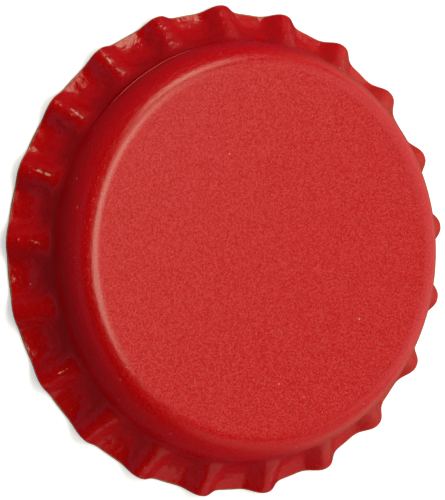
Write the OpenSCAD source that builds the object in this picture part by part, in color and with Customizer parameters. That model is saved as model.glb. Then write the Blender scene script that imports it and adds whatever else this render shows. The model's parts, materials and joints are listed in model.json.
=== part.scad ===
// Crown cap for a bottle: a pressed sheet-metal shell with a fluted skirt,
// and the moulded liner that seals the bottle's lip.
// The cap lies on the rim of its skirt with the panel up. Millimetres, +Z up,
// the origin on the axis in the plane that the rim rests on.

/* [Shell] */
// Diameter over the tips of the teeth
tips_d = 32.1; // [31.6:0.05:32.8]
// Height from the rim's lowest point to the top of the panel
cap_h = 6; // [5.8:0.05:6.6]
// Inside diameter of the wall, which slips over the bottle's lip
bore_d = 26.75; // [26.6:0.05:27.1]
// Thickness of the sheet
sheet = 0.235; // [0.2:0.005:0.28]
// Outside radius of the bend round the panel
corner_r = 1.32; // [1.1:0.02:1.5]
// Angle that this bend turns through before the shoulder carries on, in degrees
corner_turn = 45; // [35:1:50]
// Outside radius of the shoulder, which opens the bend out into the wall
shoulder_r = 2.65; // [2.3:0.05:2.9]
// Height of the plain wall between the shoulder and the flutes
wall_h = 0.56; // [0.4:0.02:0.8]

/* [Teeth] */
// Number of teeth round the skirt
teeth = 21; // [18:1:24]
// How far the valleys lie inside the tips at the rim
valley_in = 0.55; // [0.4:0.05:0.8]
// How far the valleys hang below the tips at the rim
valley_drop = 0.71; // [0.5:0.05:0.9]
// Radius of the bend by which a ridge leaves the wall
ridge_bend_r = 0.8; // [0.5:0.05:1.2]
// Narrowness of the ridges at the rim: 1 is a plain wave, more is a narrower ridge
ridge_narrowness = 2.6; // [1.5:0.1:3.5]
// Narrowness of the ridges where they leave the wall
root_narrowness = 1.4; // [1:0.1:2.5]

/* [Liner] */
// Thickness of the film across the middle
film = 0.25; // [0.2:0.05:0.4]
// Thickness of the sealing ring
seal_h = 0.95; // [0.7:0.05:1.1]
// Width of the sealing ring
seal_w = 1.9; // [1.5:0.1:2.3]
// Clearance between the sealing ring and the wall round it
seal_clear = 1.175; // [1:0.025:1.4]
// Thickness of the flange outside the sealing ring
flange_h = 0.5; // [0.4:0.05:0.6]
// Radius of the sealing ring's edges
seal_edge_r = 0.3; // [0.1:0.05:0.4]
// How far the middle of the bead lies inside the sealing ring
bead_inset = 1.3; // [1:0.1:1.8]
// Radius of the bead's section
bead_r = 0.4; // [0.3:0.05:0.5]
// Gap between the liner's edge and the shell's bend
liner_gap = 0.1; // [0.05:0.05:0.2]

/* [Hidden] */
$fn = 96;

// The wall, the shoulder and the bend, from the wall inwards to the flat of the panel
wall_r = bore_d / 2 + sheet;
opened = shoulder_r - corner_r;
shoulder_at = [wall_r - shoulder_r, cap_h - corner_r - opened * cos(corner_turn)];
corner_at = shoulder_at + opened * [sin(corner_turn), cos(corner_turn)];
flat_r = corner_at.x;
root_h = shoulder_at.y - wall_h;

// The skirt's outer surface, as steps across the wall and down from its root.
// A valley is one arc, and a ridge is a short bend and then a straight slope.
valley_out = tips_d / 2 - valley_in - wall_r;
ridge_out = tips_d / 2 - wall_r;
function valley_turn(down) = 2 * atan(valley_out / down);
// The rim rests on its inner edge, which lies below the outer one
edge_rise = sheet * sin(valley_turn(root_h - sheet));
valley_down = root_h - edge_rise;
valley_angle = valley_turn(valley_down);
valley_r = valley_down / sin(valley_angle);
ridge_down = valley_down - valley_drop;
ridge_span = norm([ridge_out - ridge_bend_r, ridge_down]);
ridge_angle = atan2(ridge_out - ridge_bend_r, ridge_down) + asin(ridge_bend_r / ridge_span);
ridge_slope = sqrt(pow(ridge_span, 2) - pow(ridge_bend_r, 2));
ridge_bend_length = ridge_bend_r * ridge_angle * PI / 180;

// Steps along each bend of the panel's outline
bend_steps = 9;

// The skirt's mesh: columns to a tooth, rows from the wall to the rim, and how
// far the columns crowd towards the ridges, in degrees of a tooth's own turn
steps = 12;
rows = 9;
crowding = 25;
columns = teeth * steps;
// The skirt's top runs up inside the wall, so that the two are one sheet
lap = 0.12;
lap_inset = 0.01;

function valley(s) = valley_r * [1 - cos(s * valley_angle), -sin(s * valley_angle)];

function ridge(s) =
    let (run = s * (ridge_bend_length + ridge_slope),
         turn = min(run / ridge_bend_length, 1) * ridge_angle,
         rest = max(run - ridge_bend_length, 0))
    ridge_bend_r * [1 - cos(turn), -sin(turn)] + rest * [sin(ridge_angle), -cos(ridge_angle)];

function wave(phase, s) =
    pow((1 + cos(phase)) / 2, root_narrowness + s * (ridge_narrowness - root_narrowness));

function skin(phase, s) =
    let (out = valley(s) + wave(phase, s) * (ridge(s) - valley(s)),
         r = wall_r + out.x,
         turn = phase / teeth)
    [r * cos(turn), r * sin(turn), root_h + out.y];

function outward(phase, s) =
    let (nudge = 0.01,
         across = skin(phase + 1, s) - skin(phase - 1, s),
         down = skin(phase, s + nudge) - skin(phase, s - nudge),
         n = cross(down, across))
    n / norm(n);

// The ridges take more of the columns than the valleys do
function phase_of(column) =
    let (even = 360 * column / steps) even - crowding * sin(even);

function lap_ring(r, z) =
    [for (column = [0:columns - 1])
        let (turn = phase_of(column) / teeth) [r * cos(turn), r * sin(turn), z]];

function skirt_ring(row, depth) =
    [for (column = [0:columns - 1])
        let (phase = phase_of(column), s = row / rows)
        skin(phase, s) - depth * outward(phase, s)];

module skirt() {
    // Down the outside, round the rim's edge and back up the inside
    rings = [
        lap_ring(wall_r - lap_inset, root_h + lap),
        lap_ring(wall_r - lap_inset, root_h),
        for (row = [1:rows]) skirt_ring(row, 0),
        for (row = [rows:-1:1]) skirt_ring(row, sheet),
        lap_ring(wall_r - sheet + lap_inset, root_h),
        lap_ring(wall_r - sheet + lap_inset, root_h + lap)
    ];
    count = len(rings);
    polyhedron(
        [for (ring = rings) each ring],
        [for (i = [0:count - 1], j = [0:columns - 1])
            let (a = i * columns, b = (i + 1) % count * columns, k = (j + 1) % columns)
            each [[a + j, a + k, b + k], [a + j, b + k, b + j]]]);
}

function arc(at, r, from, to) =
    [for (i = [1:bend_steps])
        let (turn = from + (to - from) * i / bend_steps) at + r * [sin(turn), cos(turn)]];

// Panel, bend and shoulder at a depth below the dome's outside, from axis to wall
function dome_line(depth) = [
    [0, cap_h - depth],
    [flat_r, cap_h - depth],
    each arc(corner_at, corner_r - depth, 0, corner_turn),
    each arc(shoulder_at, shoulder_r - depth, corner_turn, 90),
    [wall_r - depth, root_h]
];

function backwards(points) = [for (i = [len(points) - 1:-1:0]) points[i]];

module dome() {
    rotate_extrude() polygon([each dome_line(0), each backwards(dome_line(sheet))]);
}

module crown_shell() {
    color("firebrick") {
        dome();
        skirt();
    }
}

// Half section of the liner: its film and flange lie against the panel, and the
// flange's rounded edge follows the shell's bend
module liner_section() {
    top = cap_h - sheet;
    edge_r = corner_r - sheet;
    edge_at = [flat_r - liner_gap, top - edge_r];
    seal_out_r = bore_d / 2 - seal_clear;
    seal_in_r = seal_out_r - seal_w;
    translate([0, top - film]) square([seal_in_r + seal_edge_r, film]);
    translate([seal_in_r - bead_inset, top - film]) intersection() {
        circle(bead_r);
        translate([-bead_r, -bead_r]) square([2 * bead_r, bead_r + film / 2]);
    }
    translate([seal_in_r, top - seal_h + seal_edge_r])
        square([seal_w, seal_h - seal_edge_r - flange_h / 2]);
    translate([seal_in_r + seal_edge_r, top - seal_h])
        square([seal_w - 2 * seal_edge_r, seal_h - flange_h / 2]);
    for (r = [seal_in_r + seal_edge_r, seal_out_r - seal_edge_r])
        translate([r, top - seal_h + seal_edge_r]) circle(seal_edge_r);
    translate([seal_in_r, top - flange_h]) square([edge_at.x - seal_in_r, flange_h]);
    intersection() {
        translate(edge_at) circle(edge_r);
        translate([edge_at.x, top - flange_h]) square([edge_r, flange_h]);
    }
}

module liner() {
    color("gainsboro") rotate_extrude() liner_section();
}

crown_shell();
liner();
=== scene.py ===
import json
import math

import bmesh
import bpy
from mathutils import Euler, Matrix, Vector

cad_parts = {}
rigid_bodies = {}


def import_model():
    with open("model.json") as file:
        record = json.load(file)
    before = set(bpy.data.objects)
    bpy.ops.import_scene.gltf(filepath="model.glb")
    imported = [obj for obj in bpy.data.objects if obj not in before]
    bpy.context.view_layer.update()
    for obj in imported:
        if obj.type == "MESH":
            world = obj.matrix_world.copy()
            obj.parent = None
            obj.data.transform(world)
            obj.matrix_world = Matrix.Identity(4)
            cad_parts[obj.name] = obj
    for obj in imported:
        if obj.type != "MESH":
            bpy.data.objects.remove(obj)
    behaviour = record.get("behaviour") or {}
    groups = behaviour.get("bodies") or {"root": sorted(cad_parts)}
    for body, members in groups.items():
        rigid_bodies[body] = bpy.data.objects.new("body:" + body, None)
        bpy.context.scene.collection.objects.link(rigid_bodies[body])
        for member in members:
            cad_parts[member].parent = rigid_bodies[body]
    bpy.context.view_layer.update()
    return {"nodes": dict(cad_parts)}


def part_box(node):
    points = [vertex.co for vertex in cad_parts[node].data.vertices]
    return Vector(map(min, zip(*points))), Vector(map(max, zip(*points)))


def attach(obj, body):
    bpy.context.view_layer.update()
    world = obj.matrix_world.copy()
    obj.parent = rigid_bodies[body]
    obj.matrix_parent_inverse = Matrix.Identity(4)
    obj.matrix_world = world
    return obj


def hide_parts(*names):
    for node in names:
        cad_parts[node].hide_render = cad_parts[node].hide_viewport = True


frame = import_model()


# ---------------------------------------------------------------- Camera
# A long lens looks down on the cap where it lies, from 28 degrees off the
# cap's own axis. It stands far off, so the round panel keeps its shape.
mm = 0.001
camera_tilt = Euler((math.radians(0.05), math.radians(-27.68), math.radians(-6.02)))
camera_distance = 424 * mm
camera_aim = Vector((0.15 * mm, 0.07 * mm, -0.05 * mm))

bpy.ops.object.camera_add(
    location=camera_aim + camera_tilt.to_matrix() @ Vector((0, 0, camera_distance)),
    rotation=camera_tilt,
)
camera = bpy.context.object
camera.data.sensor_width = 36
camera.data.lens = 468
bpy.context.scene.camera = camera


# ---------------------------------------------------------------- Crown shell
# One pressing of tinplate, painted on the sheet before it was blanked: a flat
# panel, a bend that opens into a shoulder, a short plain wall and the fluted
# skirt. The press leaves the sheet's edge bare all round the rim.
tip_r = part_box("crown_shell")[1].x
cap_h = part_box("crown_shell")[1].z
sheet = 0.235 * mm
wall_r = 13.61 * mm
corner_r = 1.32 * mm
corner_turn = math.radians(45)
shoulder_r = 2.65 * mm
wall_h = 0.56 * mm
teeth = 21
valley_in = 0.55 * mm
valley_drop = 0.71 * mm
ridge_bend_r = 0.8 * mm
crown_flatness = 1.35
ridge_narrowness = 3.5
root_narrowness = 2
lip_out = 0.08 * mm
lip_start = 0.75

# The panel's outline in section: the shoulder's centre, the bend's, the flutes' root
opened = shoulder_r - corner_r
shoulder_at = Vector(
    (wall_r - shoulder_r, cap_h - corner_r - opened * math.cos(corner_turn))
)
corner_at = shoulder_at + opened * Vector(
    (math.sin(corner_turn), math.cos(corner_turn))
)
flat_r = corner_at.x
root_h = shoulder_at.y - wall_h

# A valley is one arc from the wall to the rim, and a ridge a bend and a slope
valley_out = tip_r - valley_in - wall_r
ridge_out = tip_r - wall_r
edge_rise = sheet * math.sin(2 * math.atan(valley_out / (root_h - sheet)))
valley_down = root_h - edge_rise
valley_angle = 2 * math.atan(valley_out / valley_down)
valley_r = valley_down / math.sin(valley_angle)
ridge_down = valley_down - valley_drop
ridge_span = math.hypot(ridge_out - ridge_bend_r, ridge_down)
ridge_angle = math.atan2(ridge_out - ridge_bend_r, ridge_down) + math.asin(
    ridge_bend_r / ridge_span
)
ridge_slope = math.sqrt(ridge_span**2 - ridge_bend_r**2)
ridge_bend_length = ridge_bend_r * ridge_angle

columns_a_tooth = 16
panel_rings = (0.5, 0.75, 0.92, 0.98, 1)
bend_rings = 6
flute_rings = 11
bare_edge = 0.985


def valley(s):
    """A valley's line, out from the wall and down: one arc, eased out at the rim."""
    turn = s * valley_angle
    eased = lip_out * max(0, (s - lip_start) / (1 - lip_start)) ** 2
    return valley_r * Vector((1 - math.cos(turn), -math.sin(turn))) + Vector((eased, 0))


def ridge(s):
    """A ridge's line, out from the wall and down: a short bend, then straight."""
    run = s * (ridge_bend_length + ridge_slope)
    turn = min(run / ridge_bend_length, 1) * ridge_angle
    rest = max(run - ridge_bend_length, 0)
    return ridge_bend_r * Vector((1 - math.cos(turn), -math.sin(turn))) + rest * Vector(
        (math.sin(ridge_angle), -math.cos(ridge_angle))
    )


def wave(phase, s):
    """1 on a ridge, 0 in a valley: a round crown with hollow sides."""
    narrowness = root_narrowness + s * (ridge_narrowness - root_narrowness)
    return (1 - ((1 - math.cos(phase)) / 2) ** crown_flatness) ** narrowness


class Rim:
    """The open edge of a sheet that is drawn out ring by ring in edit mode."""

    def __init__(self, name, columns, radius, height):
        bpy.ops.object.select_all(action="DESELECT")
        bpy.ops.mesh.primitive_circle_add(
            vertices=columns, radius=radius, fill_type="NGON", location=(0, 0, height)
        )
        bpy.ops.object.transform_apply()
        self.piece = bpy.context.object
        self.piece.name = name
        self.columns = columns
        self.radius, self.height = radius, height
        bpy.ops.object.mode_set(mode="EDIT")
        bpy.ops.mesh.select_mode(type="VERT")
        bpy.ops.mesh.select_all(action="SELECT")

    def place(self, radius, height, was_radius, was_height):
        """Moves what is selected in or out, and up or down."""
        k = radius / was_radius
        bpy.ops.transform.resize(value=(k, k, 1), center_override=(0, 0, 0))
        bpy.ops.transform.translate(value=(0, 0, height - was_height))

    def draw(self, radius, height):
        """One more ring, round and level."""
        bpy.ops.mesh.extrude_edges_move()
        self.place(radius, height, self.radius, self.height)
        self.radius, self.height = radius, height

    def draw_fluted(self, before, after):
        """One more ring, whose columns move from their places before to those after."""
        bpy.ops.mesh.extrude_edges_move()
        mesh = bmesh.from_edit_mesh(self.piece.data)
        ring = [v for v in mesh.verts if v.select]
        step = 2 * math.pi / self.columns
        groups = {}
        for v in ring:
            column = round(math.atan2(v.co.y, v.co.x) / step) % columns_a_tooth
            groups.setdefault(min(column, columns_a_tooth - column), []).append(v)
        for group, verts in groups.items():
            for v in mesh.verts:
                v.select = False
            for v in verts:
                v.select = True
            mesh.select_flush_mode()
            self.place(*after[group], *before[group])
        for v in ring:
            v.select = True
        mesh.select_flush_mode()

    def finish(self):
        bpy.ops.object.mode_set(mode="OBJECT")
        return self.piece


shell_rim = Rim("pressed_shell", teeth * columns_a_tooth, 3 * mm, cap_h)
for share in panel_rings:
    shell_rim.draw(share * flat_r, cap_h)
for centre, radius, start, end in (
    (corner_at, corner_r, 0, corner_turn),
    (shoulder_at, shoulder_r, corner_turn, math.pi / 2),
):
    for i in range(1, bend_rings + 1):
        turn = start + (end - start) * i / bend_rings
        out = radius * Vector((math.sin(turn), math.cos(turn)))
        shell_rim.draw(centre.x + out.x, centre.y + out.y)
shell_rim.draw(wall_r, root_h + wall_h / 2)
shell_rim.draw(wall_r, root_h)

groups = range(columns_a_tooth // 2 + 1)
before = [(wall_r, root_h) for group in groups]
for s in [i / flute_rings for i in range(1, flute_rings)] + [bare_edge, 1]:
    after = []
    for group in groups:
        phase = 2 * math.pi * group / columns_a_tooth
        out = valley(s) + wave(phase, s) * (ridge(s) - valley(s))
        after.append((wall_r + out.x, root_h + out.y))
    shell_rim.draw_fluted(before, after)
    before = after
bpy.ops.mesh.select_more()
shell = shell_rim.finish()


class Reading:
    """A number that varies over a surface. Arithmetic on it adds Math nodes."""

    def __init__(self, finish, socket):
        self.finish, self.socket = finish, socket

    def __add__(self, other):
        return self.finish.reckon("ADD", self, other)

    def __sub__(self, other):
        return self.finish.reckon("SUBTRACT", self, other)

    def __mul__(self, other):
        return self.finish.reckon("MULTIPLY", self, other)

    def __truediv__(self, other):
        return self.finish.reckon("DIVIDE", self, other)

    def __rsub__(self, other):
        return self.finish.reckon("SUBTRACT", other, self)

    def __rtruediv__(self, other):
        return self.finish.reckon("DIVIDE", other, self)

    __radd__ = __add__
    __rmul__ = __mul__

    def fade(self, start, end):
        """0 below start, 1 above end, smooth between; start may be the higher one."""
        return self.finish.node(
            "MapRange",
            {"interpolation_type": "SMOOTHSTEP"},
            {"Value": self, "From Min": start, "From Max": end},
        )

    def band(self, low, low_full, high_full, high):
        """1 between the two full values, 0 past low and high."""
        return self.fade(low, low_full) * self.fade(high, high_full)


class Finish:
    """A material as it is written: its shader, and one method that adds any node."""

    def __init__(self, name, **constants):
        self.material = bpy.data.materials.new(name)
        self.material.use_nodes = True
        self.tree = self.material.node_tree
        self.shader = self.tree.nodes["Principled BSDF"]
        for socket, value in constants.items():
            self.shader.inputs[socket.replace("_", " ")].default_value = value
        self.place = self.node("TexCoord", output="Object")
        self.x, self.y, self.z = (
            self.node("SeparateXYZ", {}, {0: self.place}, output) for output in range(3)
        )

    def node(self, kind, settings={}, values={}, output=0):
        node = self.tree.nodes.new("ShaderNode" + kind)
        for name, setting in settings.items():
            setattr(node, name, setting)
        for name, value in values.items():
            self.feed(node.inputs[name], value)
        return Reading(self, node.outputs[output])

    def reckon(self, operation, *values):
        return self.node("Math", {"operation": operation}, dict(enumerate(values)))

    def feed(self, socket, value):
        if isinstance(value, Reading):
            self.tree.links.new(value.socket, socket)
        else:
            socket.default_value = value

    def noise(self, scale, detail):
        values = {"Vector": self.place, "Scale": scale, "Detail": detail}
        return self.node("TexNoise", {}, values, "Fac")

    def mix(self, share, first, second):
        """The second colour laid over the first by share."""
        return self.node(
            "Mix", {"data_type": "RGBA"}, {0: share, 6: first, 7: second}, output=2
        )

    def vector(self, operation, values, output=0):
        return self.node("VectorMath", {"operation": operation}, values, output)

    def streak(self, start, end, width):
        """1 along a straight line from start to end, 0 beyond the width from it."""
        along = Vector(end) - Vector(start)
        away = self.vector("SUBTRACT", {0: self.place, 1: start})
        run = self.vector("DOT_PRODUCT", {0: away, 1: along}, "Value")
        run = run / along.length_squared
        run = self.reckon("MINIMUM", self.reckon("MAXIMUM", run, 0), 1)
        foot = self.vector("SCALE", {0: along, "Scale": run})
        distance = self.vector("DISTANCE", {0: away, 1: foot}, "Value")
        return distance.fade(width, 0.4 * width)

    def cells(self, scale):
        """A scattered grid: a random number for each cell, and the way to its seed."""
        grid = ("TexVoronoi", {}, {"Vector": self.place, "Scale": scale})
        colour = self.node(*grid, "Color")
        return self.node("SeparateXYZ", {}, {0: colour}), self.node(*grid, "Distance")

    def specks(self, scale, size, share):
        """Small round dots, one in a share of the cells of a scattered grid."""
        chance, away = self.cells(scale)
        return away.fade(size, 0.6 * size) * chance.fade(share + 0.001, share)

    def bump(self, height_mm):
        values = {"Height": height_mm, "Distance": mm, "Strength": 1}
        return self.node("Bump", {}, values)

    def set(self, **readings):
        for socket, value in readings.items():
            self.feed(self.shader.inputs[socket.replace("_", " ")], value)
        return self.material


paint = Finish("red_paint", Specular_IOR_Level=0.55)
around = paint.reckon("ARCTAN2", paint.y, paint.x)
crest = paint.reckon("COSINE", around * teeth)

# Where the shell is skirt, the skirt's root, rounded above the wall, and level
skirt = paint.z.fade(root_h + 0.2 * mm, root_h - 0.5 * mm)
root = paint.z.band(1.4 * mm, 2.3 * mm, root_h - 0.1 * mm, root_h + 0.2 * mm)
rounded = paint.z.fade(cap_h - 2.2 * mm, cap_h - 0.8 * mm)
level = paint.z.fade(cap_h - 0.3 * mm, cap_h - 0.05 * mm)

# The paint's fine speckle, a grain to a cell, which stands out most on the bend
grains_a_metre = 12000
grit, away = paint.cells(grains_a_metre)
grain = grit * away.fade(0.7, 0.2)
grain_mm = 0.0055 + 0.009 * rounded - 0.0105 * level

# A line that the press left at the wall's foot, part of the way round
line_mm = 0.16
press_line = paint.z.band(3.1 * mm, 3.5 * mm, 3.6 * mm, 3.7 * mm)
press_line = press_line * around.band(1.65, 1.85, 2.2, 2.5)

# The sheet puckers where it is fluted, so the skirt's reflections are uneven
lump_mm, fine_lump_mm = 0.09, 0.025
lumps = lump_mm * paint.noise(1500, 1) + fine_lump_mm * paint.noise(3200, 2)
lumps = lumps * paint.z.fade(root_h - 0.1 * mm, root_h - 1.1 * mm)

# Paint rubbed thin on the crests, single scuffs (ends and width in mm), and painted
# glints: small pale specks that stand for highlights on the paint's bumps
wear_and_glints = crest.fade(0.96, 0.995) * paint.z.band(1.0 * mm, 1.4 * mm, 2.2 * mm, 2.6 * mm)
wear_and_glints = wear_and_glints * paint.noise(3000, 3).fade(0.66, 0.74)
scratch = paint.noise(3600, 3).fade(0.44, 0.62)
for start, end, width in (
    ((-7.73, 13.42, 1.34), (-7.27, 12.52, 2.11), 0.099),
    ((-10.73, 10.27, 1.77), (-10.3, 9.71, 2.36), 0.09),
    ((-13.92, 6.92, 1.25), (-12.9, 6.23, 2.24), 0.108),
    ((-14.69, 2.24, 1.83), (-14.14, 1.99, 2.25), 0.09),
    ((-15.38, 0.12, 0.28), (-15.18, -0.22, 0.39), 0.108),
    ((-13.4, -6.45, 1.8), (-13.0, -6.2, 2.2), 0.072),
    ((-10.93, -7.07, 5.4), (-10.9, -7.1, 5.4), 0.072),
    ((-12.15, 5.94, 4.41), (-12.15, 6.0, 4.4), 0.072),
    ((-12.61, 4.06, 5.07), (-12.6, 4.25, 5.05), 0.072),
):
    line = paint.streak(Vector(start) * mm, Vector(end) * mm, width * mm)
    wear_and_glints = wear_and_glints + scratch * line
# Painted glints: pale specks in two sizes, joined to the wear so they take its colour
glint_specks = 0.6 * paint.specks(620, 0.045, 0.1) + 0.35 * paint.specks(1600, 0.1, 0.08)
wear_and_glints = paint.reckon("MINIMUM", wear_and_glints + glint_specks, 1)

deep_red = (0.54, 0, 0.001, 1)
bright_red = (0.785, 0.003, 0.005, 1)
panel_sheen_red = (0.69, 0.018, 0.021, 1)
worn_and_glint_pink = (0.95, 0.45, 0.38, 1)
black = (0, 0, 0, 1)
# The speckle is a real grain, from deep red to a paler red. On the level panel the pale
# end is pinker, a painted sheen; off the panel it is a brighter red, painted light on
# the bend, wall and skirt.
red = paint.mix(
    0.5 + (grit - 0.5) * (0.6 + 0.3 * level),
    deep_red,
    paint.mix(level, bright_red, panel_sheen_red),
)
# Painted shade: the skirt is darkened a little, and the root of the flutes beside the
# wall a little more, for the shade that falls there
red = paint.mix(0.12 * skirt + 0.1 * root, red, black)
gloss = 0.11 + 0.06 * paint.noise(1900, 2)
# Where the paint is rubbed it is a pale pink, and the painted glints are given the same
# pink
red_paint = paint.set(
    Base_Color=paint.mix(0.8 * wear_and_glints, red, worn_and_glint_pink),
    Roughness=gloss + 0.15 * wear_and_glints + 0.07 * level + 0.05 * skirt,
    Normal=paint.bump(grain_mm * grain + lumps + line_mm * press_line - 0.01 * wear_and_glints),
)

lacquer = Finish("tin_lacquer", Metallic=1)
dark_gold, pale_gold = (0.62, 0.50, 0.28, 1), (0.70, 0.58, 0.36, 1)
tin_lacquer = lacquer.set(
    Base_Color=lacquer.mix(lacquer.noise(700, 3), dark_gold, pale_gold),
    Roughness=0.28 + 0.12 * lacquer.noise(1200, 2),
    Normal=lacquer.bump(0.02 * lacquer.noise(2500, 2)),
)

steel = Finish("cut_edge", Metallic=0.2)
dark_rust, pale_rust = (0.38, 0.15, 0.07, 1), (0.5, 0.26, 0.14, 1)
cut_edge = steel.set(
    Base_Color=steel.mix(steel.noise(3000, 3).fade(0.4, 0.6), dark_rust, pale_rust),
    Roughness=0.4 + 0.2 * steel.noise(2000, 2),
)

for material in (red_paint, tin_lacquer, cut_edge):
    shell.data.materials.append(material)
for face in shell.data.polygons:
    face.material_index = 2 if face.select else 0
gauge = shell.modifiers.new("gauge", "SOLIDIFY")
gauge.thickness = sheet
gauge.offset = -1
gauge.use_even_offset = True
gauge.material_offset = 1
gauge.material_offset_rim = 2
gauge.edge_crease_rim = 0.8
smooth = shell.modifiers.new("smooth", "SUBSURF")
smooth.levels = 1
smooth.render_levels = 1
smooth.use_limit_surface = False
for modifier in ("gauge", "smooth"):
    bpy.ops.object.modifier_apply(modifier=modifier)
bpy.ops.object.shade_smooth()

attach(shell, "root")
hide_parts("crown_shell")


# ---------------------------------------------------------------- Liner
# A soft plastic seal, pressed in place under the panel while hot: a thin film,
# a bead, the raised ring that meets the lip of the bottle, and a thin flange.
liner = frame["nodes"]["liner"]
plastic = Finish(
    "liner_plastic",
    Subsurface_Weight=0.3,
    Subsurface_Radius=(1, 0.9, 0.8),
    Subsurface_Scale=0.4 * mm,
)
dull_white, milk_white = (0.66, 0.67, 0.65, 1), (0.78, 0.78, 0.74, 1)
liner_plastic = plastic.set(
    Base_Color=plastic.mix(plastic.noise(300, 3), dull_white, milk_white),
    Roughness=0.35 + 0.2 * plastic.noise(900, 3),
    Normal=plastic.bump(0.012 * plastic.noise(1800, 3)),
)
liner.data.materials.clear()
liner.data.materials.append(liner_plastic)


# ---------------------------------------------------------------- Studio
# A plain pale floor, and soft panels of light round the cap: bright ones overhead
# and beyond it, wide dim ones on its right and its near side, and faint ones low
# beyond it and on its left. The room is dark, and the camera alone sees it white.
bpy.ops.object.select_all(action="DESELECT")
bpy.ops.mesh.primitive_plane_add(size=2)
floor = bpy.context.object
floor.name = "floor"
card = Finish("floor_card", Roughness=0.9, Specular_IOR_Level=0, Emission_Strength=1)
to_camera = card.node("LightPath", output="Is Camera Ray")
to_gloss = card.node("LightPath", output="Is Glossy Ray")
reach = card.vector("LENGTH", {0: card.place}, "Value")
bearing = card.reckon("ABSOLUTE", card.reckon("ARCTAN2", card.y, card.x) + 0.15)

# What the cap gets back from the floor: more on its left, and in its gloss the
# dark of the room, paler to the right and farther out
on_left = (0.6 * card.y - 0.8 * card.x).fade(14 * mm, -14 * mm)
bounced = card.mix(on_left, (0.4, 0.39, 0.41, 1), (0.95, 0.93, 0.95, 1))
lit_side = card.mix(
    reach.fade(17 * mm, 28 * mm), (0.32, 0.2, 0.19, 1), (0.8, 0.68, 0.66, 1)
)
mirrored = card.mix(bearing.fade(1.3, 0.75), (0.07, 0.045, 0.1, 1), lit_side)
floor_glow = card.mix(
    reach.fade(50 * mm, 400 * mm), (0.55, 0.55, 0.55, 1), (1, 1, 1, 1)
)
floor.data.materials.append(
    card.set(
        Base_Color=card.mix(
            to_camera, card.mix(to_gloss, bounced, mirrored), (0.92, 0.95, 1, 1)
        ),
        Emission_Color=card.mix(to_camera, black, floor_glow),
    )
)

light_distance = 0.6


def softbox(name, right, far, width, height, glow, colour, roll=0, glossy=True):
    """A lit panel over the cap, all angles in degrees seen from the cap: where it
    stands, right and far of straight up, and the span of its sides. A glow of 1 is
    white, and one that isn't glossy lights the cap but doesn't show in its gloss."""
    lean = math.radians(math.hypot(right, far))
    azimuth = math.atan2(far, right)
    flat = Vector((math.cos(azimuth), math.sin(azimuth), 0))
    towards = math.sin(lean) * flat + Vector((0, 0, math.cos(lean)))
    turn = Vector((0, 0, 1)).rotation_difference(towards).to_euler()
    turn.rotate_axis("Z", math.radians(roll))
    bpy.ops.object.light_add(
        type="AREA", location=light_distance * towards, rotation=turn
    )
    bpy.context.object.visible_glossy = glossy
    bpy.context.object.visible_camera = False
    panel = bpy.context.object.data
    panel.name = name
    panel.color = colour
    panel.shape = "RECTANGLE"
    panel.size = 2 * light_distance * math.tan(math.radians(width / 2))
    panel.size_y = 2 * light_distance * math.tan(math.radians(height / 2))
    panel.energy = glow * math.pi * panel.size * panel.size_y


warm, cool, violet = (1, 0.93, 0.74), (1, 0.96, 0.92), (0.85, 0.55, 1)
softbox("overhead", 2.4, -1, 40, 22.5, 4.3, warm, roll=35)
softbox("overhead_fade", 6, 20, 28, 18, 1.9, warm)
softbox("beyond", 9, 47, 28, 23, 4.6, warm)
softbox("right", 60, 3, 54, 58, 0.8, cool)
softbox("near", 44, -60, 76, 50, 0.33, cool)
softbox("far_right", 50, 52, 34, 26, 0.27, cool, roll=-43)
softbox("sheen", 31, 10, 20, 12, 0.4, warm)
softbox("near_fill", 28, -58, 60, 36, 0.85, cool, roll=26, glossy=False)
softbox("far", -5, 76, 80, 22, 0.1, violet)
softbox("left", -81, -10, 16, 90, 0.25, violet)

room_glow = 0.015
room = bpy.data.worlds.new("room")
bpy.context.scene.world = room
room.use_nodes = True
sky = room.node_tree.nodes["Background"]
sky.inputs["Color"].default_value = (1, 1, 1, 1)
eye = room.node_tree.nodes.new("ShaderNodeLightPath")
brightness = room.node_tree.nodes.new("ShaderNodeMapRange")
brightness.inputs["To Min"].default_value = room_glow
room.node_tree.links.new(eye.outputs["Is Camera Ray"], brightness.inputs["Value"])
room.node_tree.links.new(brightness.outputs["Result"], sky.inputs["Strength"])

bpy.context.scene.view_settings.view_transform = "Standard"
